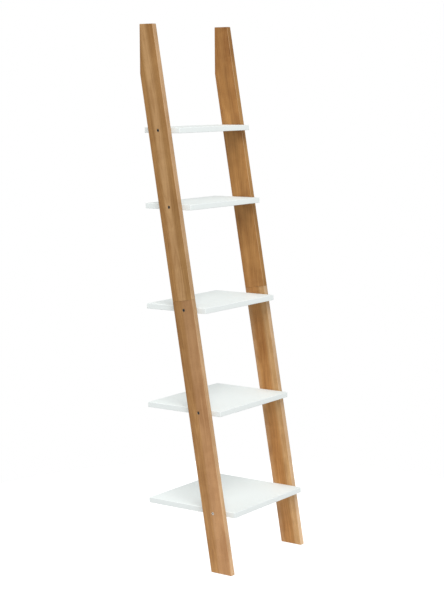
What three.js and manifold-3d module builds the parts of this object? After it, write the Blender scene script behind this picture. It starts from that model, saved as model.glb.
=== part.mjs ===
// A leaning ladder shelf. Two wooden stiles lean back to a wall, and five white shelves
// lie level between them, each deeper than the one above. A stile comes apart in two
// halves that meet on dowels, and every shelf end hangs on one screw and two dowels.
//
// Millimetres. +X is to the right, +Y is back to the wall and +Z is up. The origin is on
// the floor, in the middle of the width and of the depth.

import * as THREE from 'three';
import { mergeVertices } from 'three/addons/utils/BufferGeometryUtils.js';
import ManifoldModule from 'manifold-3d';

const wasm = await ManifoldModule();
wasm.setup();
const { Manifold, Mesh: ManifoldMesh } = wasm;

// Overall sizes
const HEIGHT = 1800;
const WIDTH = 440;
const FOOT_REACH = 355; // from the wall to the front of the feet, along the floor
const TOP_DEPTH = 54; // of a stile's level top, from the wall to its front edge

// Stiles
const STILE_WIDTH = 80; // across the slope
const STILE_THICKNESS = 20;
const STILE_EDGE = 1.5; // rounding of the long edges

// Shelves, from the lowest to the highest
const SHELF_TOPS = [207, 537, 873, 1210, 1461];
const SHELF_THICKNESS = 18;
const SHELF_OVERHANG = 36; // past the front of the stiles
const SHELF_EDGE = 2; // rounding of the long edges
const SHELF_END_EDGE = 1;

// The joint between a stile's two halves
const JOINT_SHELF = 2; // the shelf just below it, counted from 0
const JOINT_RISE = 22; // above that shelf's top
const JOINT_DOWEL_SPACING = 26;
const JOINT_DOWEL_LENGTH = 60;

// Dowels, all of one diameter
const DOWEL_DIAMETER = 8;
const DOWEL_CHAMFER = 1;
const SHELF_DOWEL_SPACING = 50; // one in front of the screw and one behind it
const SHELF_DOWEL_LENGTH = 30;
const SHELF_DOWEL_COVER = 9; // wood left between a shelf dowel's hole and the outer face

// Screws, through the stile into the shelf's end
const SCREW_LENGTH = 50;
const SCREW_DIAMETER = 7;
const SCREW_CORE_DIAMETER = 5;
const SCREW_SHANK = 16; // from the top of the head to the first thread
const SCREW_THREADS = 5;
const SCREW_POINT = 5;
const HEAD_DIAMETER = 10;
const HEAD_RIM = 1;
const HEAD_CONE = 2.5;
const HEAD_SINK = 0.8; // below the stile's outer face
const SOCKET_ACROSS_FLATS = 4;
const SOCKET_DEPTH = 2.8;

const FIT_GAP = 0.3; // between pieces that touch
const ROUND_SIDES = 16;
const EDGE_STEPS = 3;

// The slope that the other sizes lead to
const SLOPE = (FOOT_REACH - TOP_DEPTH) / HEIGHT;
const LEAN = Math.atan(SLOPE);
const LEVEL_STILE_WIDTH = STILE_WIDTH / Math.cos(LEAN);
const STILE_AXIS = new THREE.Vector3(0, Math.sin(LEAN), Math.cos(LEAN));
const STILE_ACROSS = new THREE.Vector3(0, Math.cos(LEAN), -Math.sin(LEAN));

// Places along Y, measured from the wall: the front is negative
const stileFront = (height) => -FOOT_REACH + height * SLOPE;
const stileBack = (height) => Math.min(0, stileFront(height) + LEVEL_STILE_WIDTH);
const stileMiddle = (height) => (stileFront(height) + stileBack(height)) / 2;

const shelfMiddle = (top) => top - SHELF_THICKNESS / 2;
const shelfDepth = (top) => SHELF_OVERHANG - stileFront(top);
const SHELF_LENGTH = WIDTH - 2 * STILE_THICKNESS - 2 * FIT_GAP;

const JOINT_HEIGHT = SHELF_TOPS[JOINT_SHELF] + JOINT_RISE;
const JOINT_CENTRE = new THREE.Vector3(0, stileMiddle(JOINT_HEIGHT), JOINT_HEIGHT);
const JOINT_DOWEL_PLACES = [-1, 1].map((end) =>
  STILE_ACROSS.clone().multiplyScalar((end * JOINT_DOWEL_SPACING) / 2).add(JOINT_CENTRE));

const OVERALL_DEPTH = Math.max(FOOT_REACH, ...SHELF_TOPS.map(shelfDepth));

const SIDES = [{ name: 'left', sign: -1 }, { name: 'right', sign: 1 }];

const WOOD = { color: 0xa9764a, roughness: 0.5, metalness: 0 };
const WHITE_LACQUER = { color: 0xe6eae6, roughness: 0.45, metalness: 0 };
const ZINC = { color: 0xb4b6b8, roughness: 0.35, metalness: 0.9 };
const BEECH = { color: 0xcda878, roughness: 0.7, metalness: 0 };

// ---- From three.js geometry to solids and back ----

function solidOf(geometry) {
  const positions = new THREE.BufferGeometry();
  positions.setAttribute('position', geometry.getAttribute('position'));
  if (geometry.index) positions.setIndex(geometry.index);
  const welded = mergeVertices(positions, 1e-4);
  return new Manifold(new ManifoldMesh({
    numProp: 3,
    vertProperties: Float32Array.from(welded.getAttribute('position').array),
    triVerts: Uint32Array.from(welded.index.array),
  }));
}

function geometryOf(solid) {
  const mesh = solid.getMesh();
  const geometry = new THREE.BufferGeometry();
  geometry.setAttribute('position', new THREE.BufferAttribute(mesh.vertProperties, 3));
  geometry.setIndex(new THREE.BufferAttribute(mesh.triVerts, 1));
  const faceted = geometry.toNonIndexed();
  faceted.computeVertexNormals();
  return faceted;
}

// ---- Shapes that the pieces share ----

// A board with its outline in the Y-Z plane, centred on x = 0 and with rounded edges.
function board(outline, thickness, edge) {
  const geometry = new THREE.ExtrudeGeometry(new THREE.Shape(outline), {
    depth: thickness - 2 * edge,
    bevelThickness: edge,
    bevelSize: edge,
    bevelOffset: -edge,
    bevelSegments: EDGE_STEPS,
  });
  geometry.translate(0, 0, edge - thickness / 2);
  const shapeToWorld = new THREE.Matrix4().makeBasis(
    new THREE.Vector3(0, 1, 0), new THREE.Vector3(0, 0, 1), new THREE.Vector3(1, 0, 0));
  return geometry.applyMatrix4(shapeToWorld);
}

// A turned shape: its profile is [distance along the axis, radius], from end to end.
function turned(profile, start, direction) {
  const points = profile.map(([along, radius]) => new THREE.Vector2(radius, along));
  const turn = new THREE.Quaternion().setFromUnitVectors(new THREE.Vector3(0, 1, 0), direction);
  return new THREE.LatheGeometry(points, ROUND_SIDES)
    .applyQuaternion(turn)
    .translate(start.x, start.y, start.z);
}

function cylinderProfile(length, radius) {
  return [[0, 0], [0, radius], [length, radius], [length, 0]];
}

function dowelProfile(length) {
  const radius = DOWEL_DIAMETER / 2;
  const tip = radius - DOWEL_CHAMFER;
  return [
    [0, 0], [0, tip], [DOWEL_CHAMFER, radius],
    [length - DOWEL_CHAMFER, radius], [length, tip], [length, 0],
  ];
}

// A cutter for a round hole that opens at start and runs along direction.
function drilled(length, diameter, start, direction) {
  const overrun = 1;
  const mouth = start.clone().addScaledVector(direction, -overrun);
  const profile = cylinderProfile(length + overrun, diameter / 2 + FIT_GAP);
  return solidOf(turned(profile, mouth, direction));
}

// ---- Where the fasteners of a shelf end lie ----

// All of them lie at the shelf's mid-height and across the middle of the stile.
function screwPlace(top, x) {
  const height = shelfMiddle(top);
  return new THREE.Vector3(x, stileMiddle(height), height);
}

function shelfDowelPlaces(top, x) {
  return [-1, 1].map((end) =>
    screwPlace(top, x).add(new THREE.Vector3(0, (end * SHELF_DOWEL_SPACING) / 2, 0)));
}

const DOWEL_IN_STILE = STILE_THICKNESS - SHELF_DOWEL_COVER - FIT_GAP;
const DOWEL_IN_SHELF = SHELF_DOWEL_LENGTH - DOWEL_IN_STILE - FIT_GAP;
const SCREW_IN_SHELF = SCREW_LENGTH + HEAD_SINK - STILE_THICKNESS - FIT_GAP;

// ---- Stiles ----

function stileOutline() {
  const corners = [
    [stileFront(0), 0],
    [stileBack(0), 0],
    [stileBack(HEIGHT), HEIGHT],
    [stileFront(HEIGHT), HEIGHT],
  ];
  const wallCutStart = (FOOT_REACH - LEVEL_STILE_WIDTH) / SLOPE;
  if (wallCutStart < HEIGHT) corners.splice(2, 0, [0, wallCutStart]);
  return corners.map(([y, z]) => new THREE.Vector2(y, z));
}

// The hole that a screw's head and shank sit in, from the stile's outer face inwards.
function screwHole(start, inwards) {
  const headRadius = HEAD_DIAMETER / 2 + FIT_GAP;
  const shankRadius = SCREW_DIAMETER / 2 + FIT_GAP;
  const rimEnd = HEAD_SINK + HEAD_RIM;
  const overrun = 1;
  const profile = [
    [-overrun, 0], [-overrun, headRadius], [rimEnd + FIT_GAP, headRadius],
    [rimEnd + HEAD_CONE + FIT_GAP, shankRadius],
    [STILE_THICKNESS + overrun, shankRadius], [STILE_THICKNESS + overrun, 0],
  ];
  return solidOf(turned(profile, start, inwards));
}

// Both halves of the stile on one side, centred on x = 0.
function stileHalves(sign) {
  const inwards = new THREE.Vector3(-sign, 0, 0);
  const outwards = new THREE.Vector3(sign, 0, 0);
  const outerFace = (sign * STILE_THICKNESS) / 2;
  const holes = [];
  for (const top of SHELF_TOPS) {
    holes.push(screwHole(screwPlace(top, outerFace), inwards));
    for (const place of shelfDowelPlaces(top, -outerFace)) {
      holes.push(drilled(DOWEL_IN_STILE + FIT_GAP, DOWEL_DIAMETER, place, outwards));
    }
  }
  const halfLength = JOINT_DOWEL_LENGTH / 2 + FIT_GAP;
  for (const place of JOINT_DOWEL_PLACES) {
    const start = place.clone().addScaledVector(STILE_AXIS, -halfLength);
    const profile = cylinderProfile(2 * halfLength, DOWEL_DIAMETER / 2 + FIT_GAP);
    holes.push(solidOf(turned(profile, start, STILE_AXIS)));
  }
  const whole = solidOf(board(stileOutline(), STILE_THICKNESS, STILE_EDGE));
  const drilledStile = whole.subtract(Manifold.union(holes));

  const up = STILE_AXIS.toArray();
  const down = STILE_AXIS.clone().negate().toArray();
  const cut = STILE_AXIS.dot(JOINT_CENTRE);
  return {
    lower: geometryOf(drilledStile.trimByPlane(down, FIT_GAP / 2 - cut)),
    upper: geometryOf(drilledStile.trimByPlane(up, cut + FIT_GAP / 2)),
  };
}

// ---- Shelves ----

function shelfOutline(top) {
  const front = SHELF_EDGE - shelfDepth(top);
  const rear = -SHELF_EDGE;
  const low = top - SHELF_THICKNESS + SHELF_EDGE;
  const high = top - SHELF_EDGE;
  const quarters = [[front, low, 2], [rear, low, 3], [rear, high, 0], [front, high, 1]];
  const points = [];
  for (const [y, z, quarter] of quarters) {
    for (let step = 0; step <= EDGE_STEPS; step += 1) {
      const angle = (quarter + step / EDGE_STEPS) * (Math.PI / 2);
      points.push(new THREE.Vector2(
        y + SHELF_EDGE * Math.cos(angle), z + SHELF_EDGE * Math.sin(angle)));
    }
  }
  return points;
}

function shelf(top) {
  const holes = [];
  for (const { sign } of SIDES) {
    const inwards = new THREE.Vector3(-sign, 0, 0);
    const endFace = (sign * SHELF_LENGTH) / 2;
    holes.push(drilled(SCREW_IN_SHELF + FIT_GAP, SCREW_DIAMETER, screwPlace(top, endFace), inwards));
    for (const place of shelfDowelPlaces(top, endFace)) {
      holes.push(drilled(DOWEL_IN_SHELF + FIT_GAP, DOWEL_DIAMETER, place, inwards));
    }
  }
  const whole = solidOf(board(shelfOutline(top), SHELF_LENGTH, SHELF_END_EDGE));
  return geometryOf(whole.subtract(Manifold.union(holes)));
}

// ---- Fasteners, made along +Y from one end and turned into place by their mesh ----

function screw() {
  const headRadius = HEAD_DIAMETER / 2;
  const shankRadius = SCREW_DIAMETER / 2;
  const coreRadius = SCREW_CORE_DIAMETER / 2;
  const threadEnd = SCREW_LENGTH - SCREW_POINT;
  const pitch = (threadEnd - SCREW_SHANK) / SCREW_THREADS;
  const profile = [
    [0, 0], [0, headRadius], [HEAD_RIM, headRadius],
    [HEAD_RIM + HEAD_CONE, shankRadius], [SCREW_SHANK, shankRadius],
  ];
  for (let turn = 0; turn < SCREW_THREADS; turn += 1) {
    const crest = SCREW_SHANK + (turn + 0.5) * pitch;
    profile.push([crest - pitch / 4, coreRadius], [crest, shankRadius], [crest + pitch / 4, coreRadius]);
  }
  profile.push([threadEnd, coreRadius], [SCREW_LENGTH, 0]);
  const origin = new THREE.Vector3();
  const alongY = new THREE.Vector3(0, 1, 0);

  const socketRadius = SOCKET_ACROSS_FLATS / 2 / Math.cos(Math.PI / 6);
  const socket = new THREE.CylinderGeometry(socketRadius, socketRadius, 2 * SOCKET_DEPTH, 6);
  return geometryOf(solidOf(turned(profile, origin, alongY)).subtract(solidOf(socket)));
}

function dowel(length) {
  return turned(dowelProfile(length), new THREE.Vector3(), new THREE.Vector3(0, 1, 0));
}

// ---- Assembly ----

function addMesh(parent, name, geometry, material) {
  const mesh = new THREE.Mesh(geometry, new THREE.MeshStandardMaterial(material));
  mesh.name = name;
  parent.add(mesh);
  return mesh;
}

function point(mesh, place, direction) {
  mesh.position.copy(place);
  mesh.quaternion.setFromUnitVectors(new THREE.Vector3(0, 1, 0), direction);
}

const ladderShelf = new THREE.Group();
ladderShelf.name = 'ladder_shelf';
const unit = new THREE.Group();
unit.position.y = OVERALL_DEPTH / 2;
ladderShelf.add(unit);

for (const { name, sign } of SIDES) {
  const halves = stileHalves(sign);
  for (const [half, geometry] of Object.entries(halves)) {
    const mesh = addMesh(unit, `stile_${name}_${half}`, geometry, WOOD);
    mesh.position.x = (sign * (WIDTH - STILE_THICKNESS)) / 2;
  }
  JOINT_DOWEL_PLACES.forEach((place, index) => {
    const end = index === 0 ? 'front' : 'rear';
    const start = place.clone().addScaledVector(STILE_AXIS, -JOINT_DOWEL_LENGTH / 2);
    start.x = (sign * (WIDTH - STILE_THICKNESS)) / 2;
    const mesh = addMesh(unit, `joint_dowel_${name}_${end}`, dowel(JOINT_DOWEL_LENGTH), BEECH);
    point(mesh, start, STILE_AXIS);
  });
}

SHELF_TOPS.forEach((top, index) => {
  const number = index + 1;
  addMesh(unit, `shelf_${number}`, shelf(top), WHITE_LACQUER);
  for (const { name, sign } of SIDES) {
    const inwards = new THREE.Vector3(-sign, 0, 0);
    const headTop = sign * (WIDTH / 2 - HEAD_SINK);
    const screwMesh = addMesh(unit, `screw_${number}_${name}`, screw(), ZINC);
    point(screwMesh, screwPlace(top, headTop), inwards);

    const dowelStart = sign * (WIDTH / 2 - SHELF_DOWEL_COVER - FIT_GAP);
    shelfDowelPlaces(top, dowelStart).forEach((place, placeIndex) => {
      const end = placeIndex === 0 ? 'front' : 'rear';
      const mesh = addMesh(unit, `dowel_${number}_${name}_${end}`, dowel(SHELF_DOWEL_LENGTH), BEECH);
      point(mesh, place, inwards);
    });
  }
});

export default ladderShelf;
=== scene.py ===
"""The looks of a leaning ladder shelf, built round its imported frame.

Metres, in the frame's own axes: +X to the right, +Y back to the wall, +Z up. Every place
and size that the frame holds is read from it, and only what it doesn't hold is named here.
"""

import math

import bmesh
import bpy
from mathutils import Matrix, Vector


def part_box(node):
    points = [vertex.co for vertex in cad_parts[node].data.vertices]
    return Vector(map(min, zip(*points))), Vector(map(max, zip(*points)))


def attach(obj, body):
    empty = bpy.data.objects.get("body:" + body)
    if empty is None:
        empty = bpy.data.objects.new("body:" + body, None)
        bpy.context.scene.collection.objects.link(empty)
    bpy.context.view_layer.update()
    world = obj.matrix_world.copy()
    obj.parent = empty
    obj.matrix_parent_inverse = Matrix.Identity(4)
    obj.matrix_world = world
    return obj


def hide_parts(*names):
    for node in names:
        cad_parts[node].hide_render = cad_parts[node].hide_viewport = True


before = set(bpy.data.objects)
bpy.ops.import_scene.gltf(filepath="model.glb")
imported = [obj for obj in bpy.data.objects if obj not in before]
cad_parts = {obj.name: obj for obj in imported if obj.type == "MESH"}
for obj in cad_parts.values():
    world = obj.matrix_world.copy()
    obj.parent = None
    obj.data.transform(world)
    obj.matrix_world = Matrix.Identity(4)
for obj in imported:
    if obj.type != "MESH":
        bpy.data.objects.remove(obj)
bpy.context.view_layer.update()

SHELVES = (1, 2, 3, 4, 5)  # from the lowest to the highest
SIDES = ("left", "right")
HALVES = ("lower", "upper")
ENDS = ("front", "rear")
OUTWARD = {"left": -1, "right": 1}

# Rounding of the edges
STILE_EDGE = 0.0015
JOINT_EDGE = 0.0004
SHELF_EDGE = 0.0018
EDGE_STEPS = 4
SHARP_ANGLE = math.radians(35)  # a sharper bend than this shows as an edge

# Holes
HOLE_GAP = 0.0003
HOLE_SIDES = 48
HOLE_ARRIS = 0.0004
OVERRUN = 0.002  # of a cutter past the face that it enters or leaves

# Screws, measured from the top of the head
HEAD_ARRIS = 0.00035
HEAD_RIM = 0.0008
HEAD_CONE_END = 0.0035
SHANK_RADIUS = 0.0035
SHANK_END = 0.016
CORE_RADIUS = 0.0026
THREAD_PITCH = 0.003
THREAD_HALF_WIDTH = 0.28  # in pitches
THREAD_STEPS = 8  # to a turn
POINT_LENGTH = 0.005
POINT_BLUNTNESS = 0.12
SCREW_SIDES = 32
SOCKET_RADIUS = 0.002 / math.cos(math.pi / 6)  # to the corners, 4 mm across the flats
SOCKET_DEPTH = 0.0028
SOCKET_CHAMFER = 0.0004
SOCKET_CONE = (0.0008, 0.0004)  # how much deeper its floor goes, and the radius there
SCREW_TURNS = {"left": (0.3, 1.1, 0.7, 0.1, 0.9), "right": (0.8, 0.2, 1.0, 0.5, 0.0)}

# The tones of the wood, from dark to pale
UMBER = (0.33, 0.155, 0.045)
RUSSET = (0.325, 0.165, 0.055)
AMBER = (0.36, 0.17, 0.05)
TAN = (0.34, 0.18, 0.06)
FAWN = (0.39, 0.21, 0.09)
HONEY = (0.45, 0.26, 0.11)
SAND = (0.47, 0.30, 0.16)
CREAM = (0.53, 0.36, 0.21)

# Each stile half is a board of its own. These are its tones at its front, middle and rear,
# how far from its front edge one passes into the next, the tone of its narrow edges, and
# how much every tone is brightened.
TONES = {
    "left_upper": (TAN, HONEY, TAN),
    "left_lower": (FAWN, FAWN, RUSSET),
    "right_upper": (UMBER, AMBER, UMBER),
    "right_lower": (HONEY, AMBER, FAWN),
}
TONE_CHANGES = {
    "left_upper": (0.026, 0.054),
    "left_lower": (0.036, 0.045),
    "right_upper": (0.042, 0.062),
    "right_lower": (0.022, 0.066),
}
TONE_BLUR = 0.007
TONE_WANDER = 0.020
EDGE_TONES = {"left_upper": SAND, "left_lower": SAND, "right_upper": TAN, "right_lower": CREAM}
BRIGHTNESS = 1.03
PAINTED_BOUNCE_BELOW = 1.0  # painted light: along the stile, from here down to the foot, the wood is painted brighter, as if lit by light bounced up from the floor
# How much brighter the painted floor-bounce light makes the wood at the foot
PAINTED_BOUNCE_AT_FOOT = 0.34

# The line of the tree's heart past each board: its (x, y) from the middle of the board's
# front edge, and its tilt about X and Y
TREE_HEARTS = {
    "left_upper": ((0.048, 0.034), (0.010, 0.016)),
    "left_lower": ((-0.034, 0.052), (0.014, -0.022)),
    "right_upper": ((-0.040, 0.020), (-0.012, 0.026)),
    "right_lower": ((0.062, 0.060), (0.016, 0.012)),
}
RING_WIDTH = 0.0034
RING_SWAY = 0.045
RING_UNEVENNESS = 2.2  # in ring widths
RING_CROWDING = 1.8  # how far the spacing drifts, in rings

# How strong each board's streaks, clouds and flame are
FIGURE = {"left_upper": 0.8, "left_lower": 0.9, "right_upper": 1.25, "right_lower": 1.0}

# Soft paler or darker patches of a board: how far from its front edge and along it their
# middles are, half their size that way, and how much paler or darker they make the wood
PATCHES = {
    "left_upper": ((0.036, 1.42, 0.030, 0.20, 0.07), (0.030, 1.76, 0.040, 0.12, -0.06)),
    "left_lower": ((0.044, 0.50, 0.020, 0.22, 0.05),),
    "right_upper": (
        (0.014, 1.31, 0.024, 0.15, 0.20), (0.050, 1.56, 0.022, 0.15, 0.20),
        (0.012, 1.74, 0.026, 0.12, -0.10), (0.034, 1.00, 0.034, 0.08, 0.12),
    ),
    "right_lower": (
        (0.054, 0.14, 0.036, 0.07, 0.14), (0.046, 0.25, 0.030, 0.07, -0.08),
        (0.030, 0.62, 0.040, 0.10, -0.06),
    ),
}

# What a tone is multiplied by at the dark and at the pale end of the wood's figure, and how
# much lightness there is from one end to the other
DARK_FIGURE = (0.70, 0.62, 0.52)
PALE_FIGURE = (1.30, 1.38, 1.48)
FIGURE_RANGE = 0.6

# Other colours, from one to the other where there are two
REDDER_WOOD = (1.05, 0.95, 0.90)  # a tone is multiplied by it
RUBBED_WOOD = (0.66, 0.46, 0.27)
LACQUER = ((0.78, 0.83, 0.82), (0.81, 0.85, 0.84))
LACQUER_SPECKLE = (0.75, 0.79, 0.78)
ZINC = ((0.53, 0.47, 0.40), (0.68, 0.62, 0.55))
# Painted shade: the colour the inside of a screw's socket is painted, standing in for the shade
# down in the recess
SOCKET_SHADE = (0.035, 0.028, 0.022)
BEECH = ((0.58, 0.40, 0.24), (0.72, 0.54, 0.36))
BEECH_FLECK = (0.42, 0.24, 0.12)
FLOOR = ((0.38, 0.38, 0.38), (0.42, 0.42, 0.42))
WHITE = (1.0, 1.0, 1.0)

# The camera stands in front of the left stile, above the top shelf
CAMERA_EYE = Vector((-4.220, -3.020, 1.591))
CAMERA_HEADING = math.radians(54.33)  # from +Y towards +X
CAMERA_PITCH = math.radians(-6.09)
CAMERA_ROLL = math.radians(0.43)
CAMERA_LENS_MM = 92.6
CAMERA_SHIFT_Y = -0.080

# Light. A softbox's place, its size and its watts
SOFTBOXES = {
    "key_light": ((-3.9, -3.9, 6.4), (5.2, 5.2), 415),
    "low_light": ((-5.2, -5.2, 1.6), (4.6, 3.0), 45),
    "back_light": ((1.5, 6.6, 4.6), (6.4, 4.0), 250),
}
LIGHT_TARGET = (0, 0, 0.8)
ROOM_LIGHT = 0.66
ROOM_REFLECTION = 0.14
FLOOR_RADIUS = 1.3
FLOOR_SIDES = 96
FLOOR_GLOW = 0.80


# ---- Where things are, from the frame ----

def outline_of(node):
    """The corners of a flat board's outline in the Y-Z plane, counter-clockwise."""
    straight = 1e-7

    def turn(a, b, c):
        return (b[0] - a[0]) * (c[1] - a[1]) - (b[1] - a[1]) * (c[0] - a[0])

    def half(ordered):
        corners = []
        for p in ordered:
            while len(corners) > 1 and turn(corners[-2], corners[-1], p) <= straight:
                corners.pop()
            corners.append(p)
        return corners[:-1]

    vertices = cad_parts[node].data.vertices
    points = sorted({(round(v.co.y, 6), round(v.co.z, 6)) for v in vertices})
    return half(points) + half(points[::-1])


def centre_of(node):
    low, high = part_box(node)
    return (low + high) / 2


def stile_lean():
    """The angle between a stile's front edge and plumb."""
    low_front = min(outline_of("stile_left_lower"), key=lambda p: (p[1], p[0]))
    top = outline_of("stile_left_upper")
    height = max(z for y, z in top)
    top_front = min(p for p in top if math.isclose(p[1], height, abs_tol=1e-4))
    return math.atan((top_front[0] - low_front[0]) / (top_front[1] - low_front[1]))


LEAN = stile_lean()
STILE_AXIS = Vector((0, math.sin(LEAN), math.cos(LEAN)))
STILE_ACROSS = Vector((0, math.cos(LEAN), -math.sin(LEAN)))
FOOT_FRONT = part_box("stile_left_lower")[0].y
FRONT_EDGE_ACROSS = FOOT_FRONT * math.cos(LEAN)
STILE_WIDTH = max(
    y * math.cos(LEAN) - z * math.sin(LEAN) for y, z in outline_of("stile_left_lower")
) - FRONT_EDGE_ACROSS


# ---- Mesh building ----

def bridge(bm, rings):
    """Faces between each ring of vertices and the next."""
    for low, high in zip(rings, rings[1:]):
        for side in range(len(low)):
            after = (side + 1) % len(low)
            bm.faces.new((low[side], low[after], high[after], high[side]))


def turned(profile, start, direction, sides=HOLE_SIDES):
    """A turned solid with flat ends: profile is [(distance along the axis, radius)]."""
    bm = bmesh.new()
    turn = Vector((0, 0, 1)).rotation_difference(Vector(direction)).to_matrix()
    rings = []
    for along, radius in profile:
        ring = []
        for side in range(sides):
            angle = math.tau * side / sides
            point = Vector((radius * math.cos(angle), radius * math.sin(angle), along))
            ring.append(bm.verts.new(Vector(start) + turn @ point))
        rings.append(ring)
    bridge(bm, rings)
    bm.faces.new(rings[0][::-1])
    bm.faces.new(rings[-1])
    return bm


def joined(parts):
    """One bmesh from several, which are used up."""
    whole = bmesh.new()
    for part in parts:
        mesh = bpy.data.meshes.new("part")
        part.to_mesh(mesh)
        part.free()
        whole.from_mesh(mesh)
        bpy.data.meshes.remove(mesh)
    return whole


def object_from(bm, name):
    mesh = bpy.data.meshes.new(name)
    bmesh.ops.recalc_face_normals(bm, faces=bm.faces)
    bm.to_mesh(mesh)
    bm.free()
    obj = bpy.data.objects.new(name, mesh)
    bpy.context.scene.collection.objects.link(obj)
    return obj


def apply_modifiers(obj):
    """Replaces the object's mesh with what its modifiers make of it."""
    graph = bpy.context.evaluated_depsgraph_get()
    result = bpy.data.meshes.new_from_object(obj.evaluated_get(graph))
    obj.modifiers.clear()
    old = obj.data
    obj.data = result
    bpy.data.meshes.remove(old)


def board(name, outline, x_range, edge, is_fine=lambda a, b: False, fine_edge=0.0):
    """A board with its outline in the Y-Z plane, rounded along all its edges. An edge for
    which is_fine is true of its two ends is rounded by fine_edge instead."""
    bm = bmesh.new()
    faces = []
    for x in x_range:
        verts = [bm.verts.new((x, y, z)) for y, z in outline]
        faces.append(bm.faces.new(verts))
    bridge(bm, [list(face.verts) for face in faces])
    weights = bm.edges.layers.float.new("bevel_weight_edge")
    for e in bm.edges:
        fine = is_fine(e.verts[0].co, e.verts[1].co)
        e[weights] = fine_edge / edge if fine else 1.0
    obj = object_from(bm, name)
    bevel = obj.modifiers.new("rounding", "BEVEL")
    bevel.width = edge
    bevel.segments = EDGE_STEPS
    bevel.limit_method = "WEIGHT"
    apply_modifiers(obj)
    return obj


def cut(obj, cutters):
    """Cuts the bmesh cutters out of the object."""
    cutter = object_from(joined(cutters), "cutter")
    boolean = obj.modifiers.new("holes", "BOOLEAN")
    boolean.operation = "DIFFERENCE"
    boolean.solver = "EXACT"
    boolean.object = cutter
    apply_modifiers(obj)
    bpy.data.objects.remove(cutter)


def finish_piece(obj, material, replaced):
    """Gives a piece its shading, material and place in the table."""
    mesh = obj.data
    mesh.shade_smooth()
    mesh.set_sharp_from_angle(angle=SHARP_ANGLE)
    obj.modifiers.new("flat_faces", "WEIGHTED_NORMAL").keep_sharp = True
    mesh.materials.clear()
    mesh.materials.append(material)
    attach(obj, "root")
    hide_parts(replaced)


# ---- Materials ----

class Shader:
    """A material's node tree, with short ways to add what these materials use. A value is
    a number, a tuple or a node's output."""

    def __init__(self, name, **principled):
        self.material = bpy.data.materials.new(name)
        self.material.use_nodes = True
        self.tree = self.material.node_tree
        self.bsdf = self.tree.nodes["Principled BSDF"]
        for socket, value in principled.items():
            self.bsdf.inputs[socket.replace("_", " ")].default_value = value

    def set(self, socket, value):
        if isinstance(value, bpy.types.NodeSocket):
            self.tree.links.new(value, socket)
        elif socket.type == "RGBA":
            socket.default_value = (*value, 1.0)
        else:
            socket.default_value = value

    def node(self, kind, inputs=(), **settings):
        node = self.tree.nodes.new(kind)
        for key, value in settings.items():
            setattr(node, key, value)
        for key, value in dict(inputs).items():
            self.set(node.inputs[key], value)
        return node

    def coordinates(self):
        """The object's own coordinates."""
        return self.node("ShaderNodeTexCoord").outputs["Object"]

    def math(self, operation, a, b=0.0, c=0.0):
        return self.node("ShaderNodeMath", {0: a, 1: b, 2: c}, operation=operation).outputs[0]

    def vector_math(self, operation, *vectors, output="Vector"):
        inputs = dict(enumerate(vectors))
        return self.node("ShaderNodeVectorMath", inputs, operation=operation).outputs[output]

    def parts(self, vector):
        """The x, y and z of a vector."""
        return self.node("ShaderNodeSeparateXYZ", {0: vector}).outputs

    def ramp(self, value, low, high, to_low=0.0, to_high=1.0):
        """value from low to high becomes to_low to to_high, smoothly and clamped."""
        ends = {
            "Value": value, "From Min": low, "From Max": high,
            "To Min": to_low, "To Max": to_high,
        }
        node = self.node("ShaderNodeMapRange", ends, interpolation_type="SMOOTHSTEP")
        return node.outputs["Result"]

    def placed(self, vector, location=(0, 0, 0), rotation=(0, 0, 0), scale=(1, 1, 1)):
        inputs = {"Vector": vector, "Location": location, "Rotation": rotation, "Scale": scale}
        return self.node("ShaderNodeMapping", inputs).outputs[0]

    def noise(self, vector, scale, detail=2.0, roughness=0.5, distortion=0.0, output="Fac"):
        """Noise with a scale of its own, in cycles per metre, along each axis of vector."""
        inputs = {
            "Vector": self.placed(vector, scale=scale), "Scale": 1.0, "Detail": detail,
            "Roughness": roughness, "Distortion": distortion,
        }
        return self.node("ShaderNodeTexNoise", inputs).outputs[output]

    def mix(self, share, a, b, blend="MIX"):
        """Colour a, turned into b or blended with it by share."""
        node = self.node("ShaderNodeMix", data_type="RGBA", blend_type=blend)
        self.set(node.inputs[0], share)
        self.set(node.inputs[6], a)
        self.set(node.inputs[7], b)
        return node.outputs[2]

    def scaled(self, colour, amount):
        """The colour times a number."""
        inputs = {0: colour, "Scale": amount}
        return self.node("ShaderNodeVectorMath", inputs, operation="SCALE").outputs[0]

    def facing(self, direction, low, high):
        """1 where the surface faces along direction or against it, 0 where it's level with it."""
        normal = self.node("ShaderNodeTexCoord").outputs["Normal"]
        along = self.vector_math("DOT_PRODUCT", normal, tuple(direction), output="Value")
        return self.ramp(self.math("ABSOLUTE", along), low, high)

    def bump(self, height, distance, strength, normal=None):
        inputs = {"Height": height, "Distance": distance, "Strength": strength}
        if normal is not None:
            inputs["Normal"] = normal
        return self.node("ShaderNodeBump", inputs).outputs[0]

    def finish(self, colour, roughness, normal):
        self.set(self.bsdf.inputs["Base Color"], colour)
        self.set(self.bsdf.inputs["Roughness"], roughness)
        self.set(self.bsdf.inputs["Normal"], normal)
        return self.material


def board_tone(shader, board_name, across, wander):
    """The board's colour before its grain: three soft bands, and its narrow edges."""
    wandering = shader.math("MULTIPLY_ADD", wander, TONE_WANDER, -TONE_WANDER / 2)
    wandering = shader.math("ADD", across, wandering)
    front, middle, rear = TONES[board_name]
    past_first, past_second = (
        shader.ramp(wandering, change - TONE_BLUR, change + TONE_BLUR)
        for change in TONE_CHANGES[board_name]
    )
    tone = shader.mix(past_second, shader.mix(past_first, front, middle), rear)
    return shader.mix(shader.facing(STILE_ACROSS, 0.60, 0.85), tone, EDGE_TONES[board_name])


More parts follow.
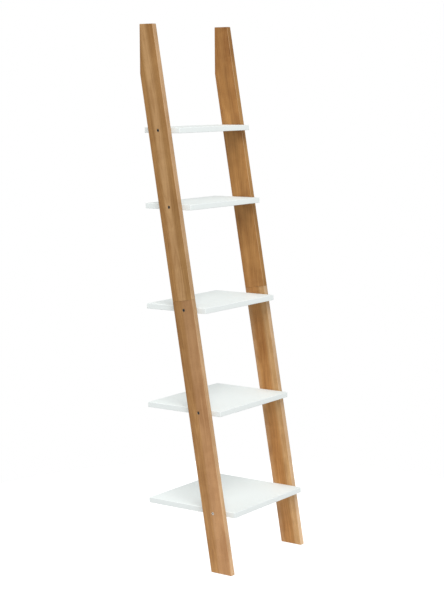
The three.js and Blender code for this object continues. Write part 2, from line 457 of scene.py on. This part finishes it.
def board_patches(shader, board_name, across, along):
    """How much paler or darker than its tone the board is, from its patches."""
    lightness = 0.0
    for middle_across, middle_along, half_across, half_along, amount in PATCHES[board_name]:
        x = shader.math("DIVIDE", shader.math("SUBTRACT", across, middle_across), half_across)
        y = shader.math("DIVIDE", shader.math("SUBTRACT", along, middle_along), half_along)
        far = shader.math("MULTIPLY_ADD", x, x, shader.math("MULTIPLY", y, y))
        lightness = shader.math("ADD", shader.ramp(far, 0.0, 1.0, amount, 0.0), lightness)
    return lightness


def late_wood_of(shader, board_name, board_place, drift):
    """1 in the dark end of each growth ring, round the tree's leaning heart, and 0 in its
    pale start. The rings sway along the board and are unevenly wide."""
    (heart_x, heart_y), (tilt_x, tilt_y) = TREE_HEARTS[board_name]
    from_heart = shader.placed(
        board_place, location=(-heart_x, -heart_y, 0), rotation=(tilt_x, tilt_y, 0))
    sway = shader.vector_math("SUBTRACT", drift, (0.5, 0.5, 0.5))
    swaying = shader.vector_math("MULTIPLY_ADD", sway, (RING_SWAY, RING_SWAY, 0), from_heart)
    level = shader.placed(swaying, scale=(1, 1, 0))
    radius = shader.vector_math("LENGTH", level, output="Value")
    uneven = shader.noise(board_place, (34, 34, 2.6), detail=3.0)
    radius = shader.math("MULTIPLY_ADD", uneven, RING_UNEVENNESS * RING_WIDTH, radius)
    rings = shader.math("DIVIDE", radius, RING_WIDTH)
    along_radius = shader.node("ShaderNodeCombineXYZ", {"X": rings}).outputs[0]
    slow_spacing = shader.noise(along_radius, (0.35, 1, 1))
    rings = shader.math("MULTIPLY_ADD", slow_spacing, RING_CROWDING, rings)
    ring = shader.math("FRACT", rings)
    rising = shader.ramp(ring, 0.25, 0.88)
    falling = shader.ramp(ring, 1.0, 0.94)
    return shader.math("MULTIPLY", rising, falling)


def wood_patterns(shader, grain):
    """The wood's patterns: from -1 to 1 for the broad ones and the fibres, 0 to 1 for the
    rest."""
    def both_ways(noise, low):
        return shader.ramp(noise, low, 1.0 - low, -1.0, 1.0)

    streaks = shader.noise(grain, (75, 75, 2.0), detail=3.0, roughness=0.6, distortion=0.5)
    clouds = shader.noise(grain, (24, 24, 6.0), distortion=0.5)
    flame = shader.noise(grain, (30, 12, 26), distortion=0.6)
    fibres = shader.noise(grain, (1500, 1500, 22), roughness=0.6)
    pale_lines = shader.noise(grain, (170, 170, 5.0), detail=1.0, distortion=0.8)
    pores = shader.noise(grain, (2300, 2300, 110), detail=1.0)
    flecks = shader.noise(grain, (700, 1100, 190), detail=1.0)
    return {
        "streaks": both_ways(streaks, 0.30),
        "clouds": both_ways(clouds, 0.32),
        "flame": both_ways(flame, 0.30),
        "fibres": both_ways(fibres, 0.30),
        "pale_lines": shader.ramp(pale_lines, 0.60, 0.72),
        "pores": shader.ramp(pores, 0.60, 0.72),
        "flecks": shader.ramp(flecks, 0.66, 0.74),
    }


def wood_shade(shader, board_name, patches, patterns):
    """The colour that the wood's patches and patterns multiply its tone by."""
    figure = FIGURE[board_name]
    shares = {
        "streaks": 0.055 * figure, "clouds": 0.100 * figure, "flame": 0.040 * figure,
        "fibres": 0.045, "pale_lines": 0.120,
        "late_wood": -0.110, "pores": -0.150, "flecks": -0.130,
    }
    lightness = patches
    for name, share in shares.items():
        lightness = shader.math("MULTIPLY_ADD", patterns[name], share, lightness)
    paleness = shader.math("MULTIPLY_ADD", lightness, 1 / FIGURE_RANGE, 0.5)
    return shader.mix(paleness, DARK_FIGURE, PALE_FIGURE)


def with_end_grain(shader, colour, grain, end_grain, late_wood):
    """The colour, darker and speckled with pores where end_grain is 1."""
    end_pores = shader.noise(grain, (1600, 1600, 30), detail=1.0)
    speckled = shader.math("MULTIPLY_ADD", end_pores, 0.4, 0.8)
    brightness = shader.math("MULTIPLY_ADD", late_wood, -0.25, 0.72)
    brightness = shader.math("MULTIPLY", brightness, speckled)
    return shader.mix(end_grain, colour, shader.scaled(colour, brightness))


def with_rubbed_arrises(shader, colour, grain, thickness, depth, across):
    """The colour, paler here and there along the board's long arrises, from handling."""
    width = 0.0022
    from_face = shader.math("SUBTRACT", thickness / 2, shader.math("ABSOLUTE", depth))
    from_edge = shader.math("MINIMUM", across, shader.math("SUBTRACT", STILE_WIDTH, across))
    near_face = shader.ramp(from_face, 0.0, width, 1.0, 0.0)
    near_edge = shader.ramp(from_edge, 0.0, width, 1.0, 0.0)
    at_arris = shader.math("MULTIPLY", near_face, near_edge)
    patchy = shader.noise(grain, (30, 30, 9), detail=3.0)
    patchy = shader.ramp(patchy, 0.35, 0.65, 0.15, 0.55)
    return shader.mix(shader.math("MULTIPLY", at_arris, patchy), colour, RUBBED_WOOD)


def wood_material(board_name):
    """Oiled wood of one stile half: its growth rings, streaks, fibres, pores and end grain."""
    shader = Shader(f"oiled_wood_{board_name}", Specular_IOR_Level=0.3)
    low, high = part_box(f"stile_{board_name}")
    # x across the thickness from the middle, y across the width from the front edge,
    # z along the stile
    board_place = shader.placed(
        shader.coordinates(), location=(-(low.x + high.x) / 2, -FRONT_EDGE_ACROSS, 0),
        rotation=(LEAN, 0, 0))
    depth, across, along = shader.parts(board_place)

    # Every board has a stretch of the noise of its own
    heart_x, heart_y = TREE_HEARTS[board_name][0]
    grain = shader.placed(board_place, location=(heart_x, heart_y, 40 * heart_x))
    drift = shader.noise(grain, (0.85, 0.85, 1.7), detail=1.0, output="Color")

    patterns = wood_patterns(shader, grain)
    patterns["late_wood"] = late_wood_of(shader, board_name, board_place, drift)
    patches = board_patches(shader, board_name, across, along)
    tone = board_tone(shader, board_name, across, shader.parts(drift)[0])
    shade = wood_shade(shader, board_name, patches, patterns)
    # Painted light: the wood is painted brighter towards the foot, standing in for light bounced
    # up from the floor
    painted_floor_bounce = shader.ramp(along, PAINTED_BOUNCE_BELOW, 0.0, BRIGHTNESS, BRIGHTNESS + PAINTED_BOUNCE_AT_FOOT)
    colour = shader.scaled(shader.mix(1.0, tone, shade, "MULTIPLY"), painted_floor_bounce)
    redness = shader.ramp(shader.noise(grain, (22, 22, 0.9), detail=1.0), 0.40, 0.70, 0.0, 0.35)
    colour = shader.mix(redness, colour, REDDER_WOOD, "MULTIPLY")

    late_wood = patterns["late_wood"]
    end_grain = shader.facing(STILE_AXIS, 0.55, 0.80)
    colour = with_end_grain(shader, colour, grain, end_grain, late_wood)
    colour = with_rubbed_arrises(shader, colour, grain, high.x - low.x, depth, across)

    roughness = 0.42
    for pattern, share in (
        (patterns["streaks"], 0.04), (late_wood, -0.05),
        (patterns["pores"], 0.14), (end_grain, 0.20),
    ):
        roughness = shader.math("MULTIPLY_ADD", pattern, share, roughness)
    relief = shader.math("MULTIPLY", patterns["fibres"], 0.25)
    relief = shader.math("MULTIPLY_ADD", patterns["pores"], -1.0, relief)
    relief = shader.math("MULTIPLY_ADD", late_wood, 0.35, relief)
    return shader.finish(colour, roughness, shader.bump(relief, 0.00012, 0.7))


def lacquer_material():
    """Matt white lacquer with a faint spray texture, a little cloudy and wiped."""
    shader = Shader("white_lacquer", Specular_IOR_Level=0.3)
    place = shader.coordinates()
    cloud = shader.noise(place, (7, 7, 7), detail=3.0)
    speckle = shader.noise(place, (900, 900, 900), detail=1.0)
    colour = shader.mix(cloud, *LACQUER)
    colour = shader.mix(shader.ramp(speckle, 0.62, 0.78, 0.0, 0.25), colour, LACQUER_SPECKLE)
    wipes = shader.noise(place, (16, 60, 16), detail=3.0, roughness=0.6, distortion=0.6)
    roughness = shader.math("MULTIPLY_ADD", wipes, 0.16, 0.42)
    peel = shader.noise(place, (330, 330, 330), roughness=0.45)
    long_wave = shader.noise(place, (24, 24, 24), detail=1.0)
    normal = shader.bump(peel, 0.00006, 0.35)
    normal = shader.bump(long_wave, 0.0004, 0.25, normal)
    return shader.finish(colour, roughness, normal)


def zinc_material():
    """Zinc plate, brushed by turning and a little cloudy, with painted shade down in the socket.
    """
    shader = Shader("zinc_plate", Metallic=1.0)
    place = shader.coordinates()
    cloud = shader.noise(place, (500, 500, 500), detail=3.0)
    # Painted shade: the inside of the socket is painted near-black and made rougher, standing in
    # for the shade in the recess
    from_axis = shader.vector_math("LENGTH", shader.placed(place, scale=(1, 1, 0)), output="Value")
    inside = shader.ramp(from_axis, 0.0024, 0.0027, 1.0, 0.0)
    down = shader.ramp(shader.parts(place)[2], 0.0002, 0.0008)
    in_socket = shader.math("MULTIPLY", inside, down)
    colour = shader.mix(in_socket, shader.mix(cloud, *ZINC), SOCKET_SHADE)
    roughness = shader.math("MULTIPLY_ADD", cloud, 0.16, 0.16)
    roughness = shader.math("MULTIPLY_ADD", in_socket, 0.40, roughness)
    turning = shader.node("ShaderNodeTexWave", {
        "Vector": place, "Scale": 900.0, "Distortion": 2.0, "Detail": 2.0,
    }, wave_type="RINGS", rings_direction="Z").outputs["Fac"]
    return shader.finish(colour, roughness, shader.bump(turning, 0.00002, 0.4))


def dowel_material():
    """Raw beech, with its small flecks along the grain."""
    shader = Shader("raw_beech")
    place = shader.coordinates()
    fibres = shader.noise(place, (90, 900, 900))
    flecks = shader.noise(place, (220, 1500, 1500), detail=1.0)
    flecks = shader.ramp(flecks, 0.60, 0.70, 0.0, 0.5)
    colour = shader.mix(flecks, shader.mix(fibres, *BEECH), BEECH_FLECK)
    roughness = shader.math("MULTIPLY_ADD", fibres, 0.15, 0.62)
    return shader.finish(colour, roughness, shader.bump(fibres, 0.0001, 0.5))


# ---- Pieces ----

def screw_name(number, side):
    return f"screw_{number}_{side}"


def screw_head(number, side):
    """The middle of the top of a screw's head."""
    low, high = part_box(screw_name(number, side))
    head = centre_of(screw_name(number, side))
    head.x = high.x if side == "right" else low.x
    return head


def dowel_names(number, side):
    return [f"dowel_{number}_{side}_{end}" for end in ENDS]


def grown_hole(node):
    """A cutter a little larger than a piece that lies along X."""
    low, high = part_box(node)
    start = Vector((low.x - HOLE_GAP, (low.y + high.y) / 2, (low.z + high.z) / 2))
    radius = (high.y - low.y) / 2 + HOLE_GAP
    return turned([(0, radius), (high.x - low.x + 2 * HOLE_GAP, radius)], start, (1, 0, 0))


def countersunk_hole(number, side):
    """The hole in a stile for a screw's head and shank, with its mouth eased."""
    stile_low, stile_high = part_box(f"stile_{side}_lower")
    outer_x = stile_high.x if side == "right" else stile_low.x
    thickness = stile_high.x - stile_low.x
    low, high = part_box(screw_name(number, side))
    head = screw_head(number, side)
    sink = abs(outer_x - head.x)
    mouth = (high.y - low.y) / 2 + HOLE_GAP
    shank = SHANK_RADIUS + HOLE_GAP
    profile = [
        (-OVERRUN, mouth + HOLE_ARRIS + OVERRUN),
        (HOLE_ARRIS, mouth),
        (sink + HEAD_RIM + HOLE_GAP, mouth),
        (sink + HEAD_CONE_END + HOLE_GAP, shank),
        (thickness + OVERRUN, shank),
    ]
    return turned(profile, (outer_x, head.y, head.z), (-OUTWARD[side], 0, 0))


def thread_hole(number, side):
    """The hole in a shelf's end for a screw's thread."""
    low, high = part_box(screw_name(number, side))
    start = screw_head(number, side)
    start.x -= OUTWARD[side] * HEAD_CONE_END
    length = high.x - low.x - HEAD_CONE_END + HOLE_GAP
    radius = SHANK_RADIUS + HOLE_GAP
    return turned([(0, radius), (length, radius)], start, (-OUTWARD[side], 0, 0))


def joint_dowel_hole(side, end):
    """The hole for a dowel along the stile, through the joint between its halves."""
    node = f"joint_dowel_{side}_{end}"
    low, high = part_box(node)
    diameter = high.x - low.x
    length = (high.z - low.z - diameter * math.sin(LEAN)) / math.cos(LEAN) + 2 * HOLE_GAP
    radius = diameter / 2 + HOLE_GAP
    start = centre_of(node) - STILE_AXIS * length / 2
    return turned([(0, radius), (length, radius)], start, STILE_AXIS)


def make_stile_half(side, half):
    node = f"stile_{side}_{half}"
    low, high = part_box(node)
    joint_z = high.z if half == "lower" else low.z
    reach = STILE_WIDTH * math.sin(LEAN) + 0.001

    def at_joint(a, b):
        return abs(a.z - joint_z) < reach and abs(b.z - joint_z) < reach

    piece = board(
        f"board_{side}_{half}", outline_of(node), (low.x, high.x), STILE_EDGE,
        at_joint, JOINT_EDGE)
    cutters = [joint_dowel_hole(side, end) for end in ENDS]
    for number in SHELVES:
        if low.z < centre_of(screw_name(number, side)).z < high.z:
            cutters.append(countersunk_hole(number, side))
            cutters.extend(grown_hole(name) for name in dowel_names(number, side))
    cut(piece, cutters)
    finish_piece(piece, wood_material(f"{side}_{half}"), node)


def make_shelf(number, lacquer):
    node = f"shelf_{number}"
    low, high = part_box(node)
    outline = [(low.y, low.z), (high.y, low.z), (high.y, high.z), (low.y, high.z)]
    piece = board(f"panel_{number}", outline, (low.x, high.x), SHELF_EDGE)
    cutters = []
    for side in SIDES:
        cutters.append(thread_hole(number, side))
        cutters.extend(grown_hole(name) for name in dowel_names(number, side))
    cut(piece, cutters)
    finish_piece(piece, lacquer, node)


def screw_rows(length, head_radius):
    """A screw from its head to near its point, as rows of (z, radius, thread height)."""
    rows = [
        (0.0, head_radius - HEAD_ARRIS, 0.0),
        (HEAD_ARRIS, head_radius, 0.0),
        (HEAD_RIM, head_radius, 0.0),
        (HEAD_CONE_END, SHANK_RADIUS, 0.0),
        (SHANK_END, SHANK_RADIUS, 0.0),
    ]
    step = THREAD_PITCH / THREAD_STEPS
    for i in range(1, round((length - SHANK_END) / step)):
        z = SHANK_END + i * step
        taper = min(1.0, (length - z) / POINT_LENGTH)
        crest = min(1.0, (z - SHANK_END) / THREAD_PITCH) * taper
        core = CORE_RADIUS * max(taper, POINT_BLUNTNESS)
        rows.append((z, core, (SHANK_RADIUS - CORE_RADIUS) * crest))
    return rows


def hex_socket():
    """The cutter for a screw's socket, with its mouth eased and its floor dished."""
    above_head = 0.001
    deeper, floor_radius = SOCKET_CONE
    profile = [
        (-above_head, SOCKET_RADIUS + SOCKET_CHAMFER),
        (SOCKET_CHAMFER, SOCKET_RADIUS),
        (SOCKET_DEPTH, SOCKET_RADIUS),
        (SOCKET_DEPTH + deeper, floor_radius),
    ]
    return turned(profile, (0, 0, 0), (0, 0, 1), sides=6)


def threaded_screw(length, head_radius):
    """The mesh of a countersunk connecting screw along +Z, its head at z = 0, with a helical
    thread."""
    def thread_at(z, angle):
        phase = (z / THREAD_PITCH - angle / math.tau) % 1.0
        return max(0.0, 1.0 - abs(phase - 0.5) / THREAD_HALF_WIDTH)

    bm = bmesh.new()
    rings = []
    for z, core, ridge in screw_rows(length, head_radius):
        ring = []
        for side in range(SCREW_SIDES):
            angle = math.tau * side / SCREW_SIDES
            radius = core + ridge * thread_at(z, angle)
            ring.append(bm.verts.new((radius * math.cos(angle), radius * math.sin(angle), z)))
        rings.append(ring)
    bridge(bm, rings)
    bm.faces.new(rings[0][::-1])
    tip = bm.verts.new((0, 0, length))
    for side in range(SCREW_SIDES):
        bm.faces.new((rings[-1][side], rings[-1][(side + 1) % SCREW_SIDES], tip))
    screw = object_from(bm, "screw_pattern")
    cut(screw, [hex_socket()])
    mesh = screw.data
    bpy.data.objects.remove(screw)
    return mesh


def make_screws(zinc):
    low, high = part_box(screw_name(1, "left"))
    mesh = threaded_screw(high.x - low.x, (high.y - low.y) / 2)
    for side in SIDES:
        inward = Vector((-OUTWARD[side], 0, 0))
        turn = Vector((0, 0, 1)).rotation_difference(inward).to_matrix().to_4x4()
        for number, twist in zip(SHELVES, SCREW_TURNS[side]):
            place = Matrix.Translation(screw_head(number, side))
            piece = bpy.data.objects.new(f"fixing_{number}_{side}", mesh.copy())
            bpy.context.scene.collection.objects.link(piece)
            piece.matrix_world = place @ turn @ Matrix.Rotation(twist, 4, "Z")
            finish_piece(piece, zinc, screw_name(number, side))


def dress_dowels(beech):
    """The dowels keep their CAD shape and get a material."""
    for name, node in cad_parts.items():
        if "dowel" in name:
            node.data.materials.clear()
            node.data.materials.append(beech)


# ---- Floor, light and camera ----

def floor_material():
    """A pale sheet that glows a little, so that it runs into the background."""
    shader = Shader("pale_floor", Emission_Color=(*WHITE, 1.0), Emission_Strength=FLOOR_GLOW)
    place = shader.coordinates()
    tint = shader.mix(shader.noise(place, (2, 2, 2)), *FLOOR)
    tooth = shader.noise(place, (400, 400, 400), detail=1.0)
    return shader.finish(tint, 0.9, shader.bump(tooth, 0.0001, 0.1))


def make_floor():
    """A round sheet with the shelf at its middle."""
    bm = bmesh.new()
    ring = []
    for corner in range(FLOOR_SIDES):
        angle = math.tau * corner / FLOOR_SIDES
        place = Vector((math.cos(angle), math.sin(angle), 0)) * FLOOR_RADIUS
        ring.append(bm.verts.new(place))
    bm.faces.new(ring)
    floor = object_from(bm, "floor")
    floor.data.materials.append(floor_material())
    # The sheet sends no light up, casts no shadow, and lets the room's light through
    floor.visible_diffuse = False
    floor.visible_shadow = False


def make_softbox(name, place, size, watts):
    """A large soft lamp that the camera doesn't see."""
    data = bpy.data.lights.new(name, "AREA")
    data.shape = "RECTANGLE"
    data.size, data.size_y = size
    data.energy = watts
    lamp = bpy.data.objects.new(name, data)
    bpy.context.scene.collection.objects.link(lamp)
    lamp.location = place
    lamp.rotation_mode = "QUATERNION"
    lamp.rotation_quaternion = (Vector(LIGHT_TARGET) - Vector(place)).to_track_quat("-Z", "Y")
    lamp.visible_camera = False


def make_room():
    """A white background, which is dimmer as a light and dimmer still in a reflection."""
    world = bpy.data.worlds.new("white_studio")
    world.use_nodes = True
    nodes, links = world.node_tree.nodes, world.node_tree.links
    background = nodes["Background"]
    background.inputs["Color"].default_value = (*WHITE, 1.0)
    rays = nodes.new("ShaderNodeLightPath")
    before = None
    for ray, seen in (("Is Camera Ray", 1.0), ("Is Glossy Ray", ROOM_REFLECTION)):
        step = nodes.new("ShaderNodeMath")
        step.operation = "MULTIPLY_ADD"
        links.new(rays.outputs[ray], step.inputs[0])
        step.inputs[1].default_value = seen - ROOM_LIGHT
        step.inputs[2].default_value = ROOM_LIGHT
        if before:
            links.new(before.outputs[0], step.inputs[2])
        before = step
    links.new(before.outputs[0], background.inputs["Strength"])
    bpy.context.scene.world = world


def make_light():
    make_room()
    for name, (place, size, watts) in SOFTBOXES.items():
        make_softbox(name, place, size, watts)
    bpy.context.scene.view_settings.view_transform = "Standard"


def make_camera():
    data = bpy.data.cameras.new("camera")
    data.lens = CAMERA_LENS_MM
    data.shift_y = CAMERA_SHIFT_Y
    camera = bpy.data.objects.new("camera", data)
    bpy.context.scene.collection.objects.link(camera)
    heading = Matrix.Rotation(-CAMERA_HEADING, 4, "Z")
    tilt = Matrix.Rotation(math.pi / 2 + CAMERA_PITCH, 4, "X")
    roll = Matrix.Rotation(-CAMERA_ROLL, 4, "Z")
    camera.matrix_world = Matrix.Translation(CAMERA_EYE) @ heading @ tilt @ roll
    bpy.context.scene.camera = camera


make_camera()
for side in SIDES:
    for half in HALVES:
        make_stile_half(side, half)
white_lacquer = lacquer_material()
for number in SHELVES:
    make_shelf(number, white_lacquer)
make_screws(zinc_material())
dress_dowels(dowel_material())
make_floor()
make_light()
